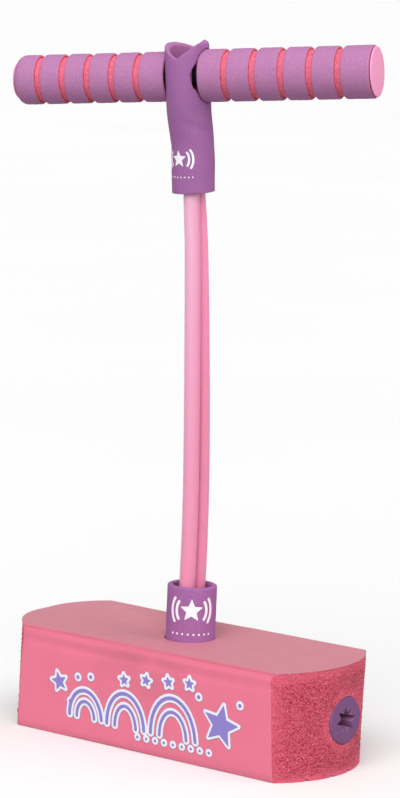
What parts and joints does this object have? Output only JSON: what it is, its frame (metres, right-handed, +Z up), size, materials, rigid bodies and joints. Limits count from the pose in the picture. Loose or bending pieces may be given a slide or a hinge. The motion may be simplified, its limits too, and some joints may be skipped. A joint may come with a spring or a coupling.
{
  "type": "foam pogo jumper",
  "caption": "Soft pogo jumper: a foam foot block with squeaker ends, a doubled elastic cord and a foam-covered T handle.",
  "frame": {"origin": "centre of the foot block's flat underside, on the floor", "axes": "+X along the foot block towards its right end, +Y towards the back, +Z up the cord towards the handle"},
  "size_m": [0.2758, 0.1211, 0.4984],
  "materials": {
    "block_foam": "matte",
    "plug_foam": "matte",
    "sleeve_foam": "matte",
    "band_foam": "matte",
    "core_foam": "matte",
    "cap_foam": "matte",
    "cord": "satin",
    "plastic": "satin",
    "bar_plastic": "satin",
    "bulb": "satin",
    "reed": "gloss"
  },
  "bodies": {
    "base": {"foam_block": "block_foam", "end_plug_left": "plug_foam", "end_plug_right": "plug_foam", "anchor_rod": "plastic", "squeaker_bulb_left": "bulb", "squeaker_bulb_right": "bulb", "squeaker_reed_left": "reed", "squeaker_reed_right": "reed"},
    "collar": {"base_collar": "sleeve_foam"},
    "cord": {"elastic_cord": "cord"},
    "neck": {"neck_sleeve": "sleeve_foam"},
    "bar": {"handlebar_tube": "bar_plastic", "grip_core_left": "core_foam", "grip_core_right": "core_foam", "grip_band_left_1": "band_foam", "grip_band_left_2": "band_foam", "grip_band_left_3": "band_foam", "grip_band_left_4": "band_foam", "grip_band_left_5": "band_foam", "grip_band_left_6": "band_foam", "end_cap_left": "cap_foam", "grip_band_right_1": "band_foam", "grip_band_right_2": "band_foam", "grip_band_right_3": "band_foam", "grip_band_right_4": "band_foam", "grip_band_right_5": "band_foam", "grip_band_right_6": "band_foam", "end_cap_right": "cap_foam"}
  },
  "joints": [
    {"name": "handle_twist", "type": "hinge", "parent": "base", "child": "collar", "pos_m": [0.0006, 0.0005, 0.1], "axis": [0, 0, 1], "range_deg": [-90, 90], "stiffness_Nm_per_rad": 0.3},
    {"name": "handle_lean", "type": "hinge", "parent": "collar", "child": "cord", "pos_m": [0.0016, 0.0013, 0.114], "axis": [0.9397, 0.342, 0], "range_deg": [-35, 35], "stiffness_Nm_per_rad": 3},
    {"name": "handle_lift", "type": "slide", "parent": "cord", "child": "neck", "axis": [0, 0, 1], "range_m": [0, 0.22], "stiffness_N_per_m": 350, "springref_m": -0.01, "deforming": ["elastic_cord"]},
    {"name": "bar_spin", "type": "hinge", "parent": "neck", "child": "bar", "pos_m": [-0.005, -0.0064, 0.4718], "axis": [0.9384, 0.3416, 0.0515], "continuous": true}
  ]
}
